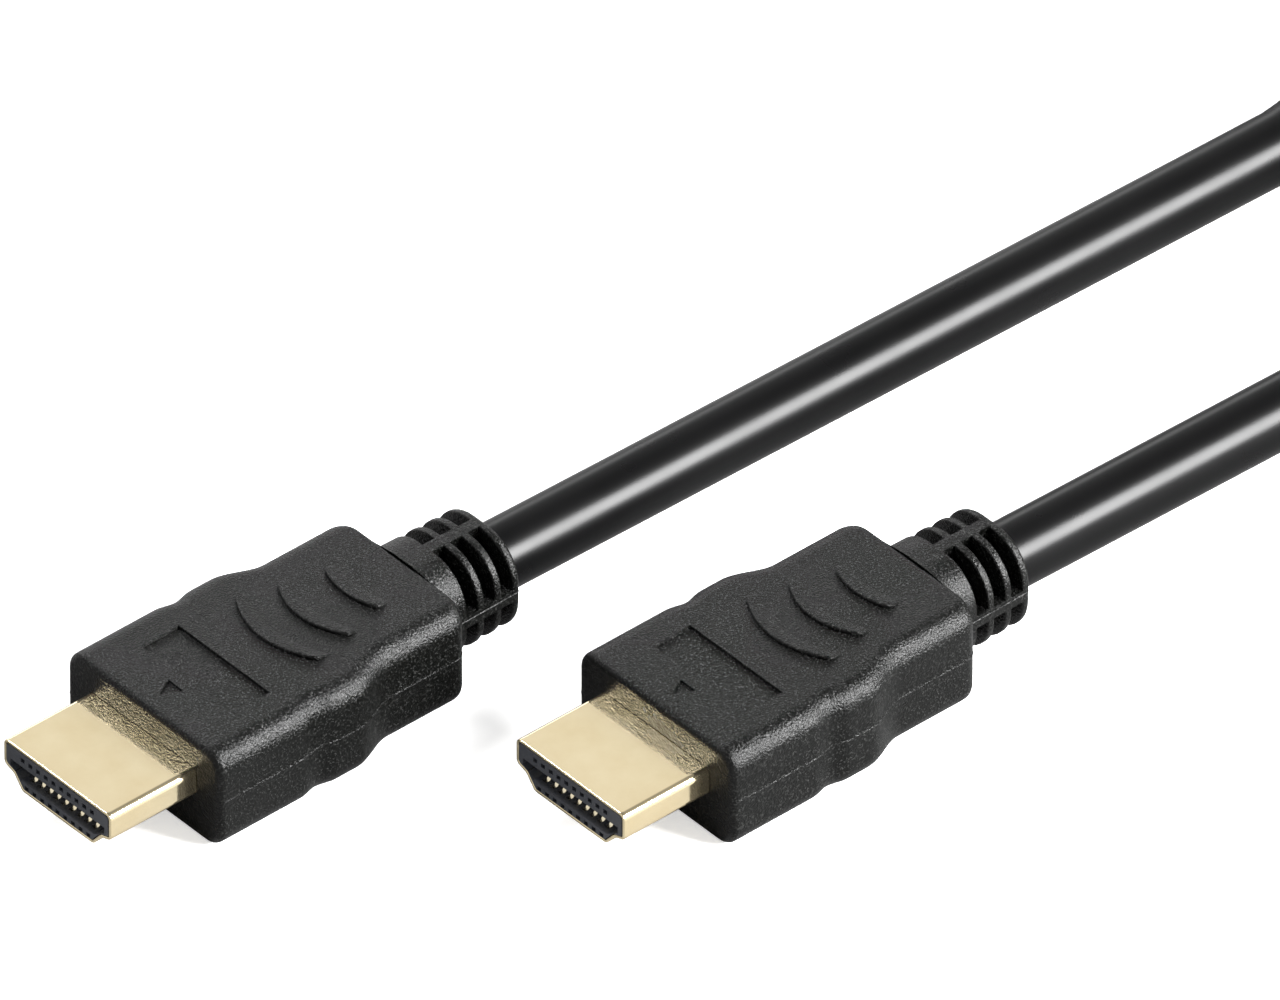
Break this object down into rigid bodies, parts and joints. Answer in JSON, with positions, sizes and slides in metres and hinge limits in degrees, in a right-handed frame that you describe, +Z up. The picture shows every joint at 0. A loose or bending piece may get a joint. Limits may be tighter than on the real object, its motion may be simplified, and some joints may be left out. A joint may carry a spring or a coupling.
{
  "type": "hdmi cable",
  "caption": "Round video cable with a moulded plug on each end: gold shell, staggered contact rows, grip ribs, slotted strain relief, spare length in a coil.",
  "frame": {"origin": "middle of the two plugs' common box, on the surface that they lie on", "axes": "+Y from the plugs' mouths towards the cable, +X across the plugs, +Z up"},
  "size_m": [0.09, 0.2343, 0.0126],
  "materials": {
    "overmould_vinyl": "fine spark-eroded matte black",
    "shell_gold": "polished pale gold plating",
    "insulator_nylon": "dark bluish grey, satin",
    "contact_gold": "bright gold flash",
    "cable_jacket": "smooth glossy black"
  },
  "bodies": {
    "root": {"plug_a_overmould": "overmould_vinyl", "plug_a_shell": "shell_gold", "plug_a_insulator": "insulator_nylon", "plug_a_contact_01": "contact_gold", "plug_a_contact_02": "contact_gold", "plug_a_contact_03": "contact_gold", "plug_a_contact_04": "contact_gold", "plug_a_contact_05": "contact_gold", "plug_a_contact_06": "contact_gold", "plug_a_contact_07": "contact_gold", "plug_a_contact_08": "contact_gold", "plug_a_contact_09": "contact_gold", "plug_a_contact_10": "contact_gold", "plug_a_contact_11": "contact_gold", "plug_a_contact_12": "contact_gold", "plug_a_contact_13": "contact_gold", "plug_a_contact_14": "contact_gold", "plug_a_contact_15": "contact_gold", "plug_a_contact_16": "contact_gold", "plug_a_contact_17": "contact_gold", "plug_a_contact_18": "contact_gold", "plug_a_contact_19": "contact_gold", "plug_b_overmould": "overmould_vinyl", "plug_b_shell": "shell_gold", "plug_b_insulator": "insulator_nylon", "plug_b_contact_01": "contact_gold", "plug_b_contact_02": "contact_gold", "plug_b_contact_03": "contact_gold", "plug_b_contact_04": "contact_gold", "plug_b_contact_05": "contact_gold", "plug_b_contact_06": "contact_gold", "plug_b_contact_07": "contact_gold", "plug_b_contact_08": "contact_gold", "plug_b_contact_09": "contact_gold", "plug_b_contact_10": "contact_gold", "plug_b_contact_11": "contact_gold", "plug_b_contact_12": "contact_gold", "plug_b_contact_13": "contact_gold", "plug_b_contact_14": "contact_gold", "plug_b_contact_15": "contact_gold", "plug_b_contact_16": "contact_gold", "plug_b_contact_17": "contact_gold", "plug_b_contact_18": "contact_gold", "plug_b_contact_19": "contact_gold", "cable_lead_a": "cable_jacket", "cable_coil": "cable_jacket", "cable_lead_b": "cable_jacket"}
  },
  "joints": []
}
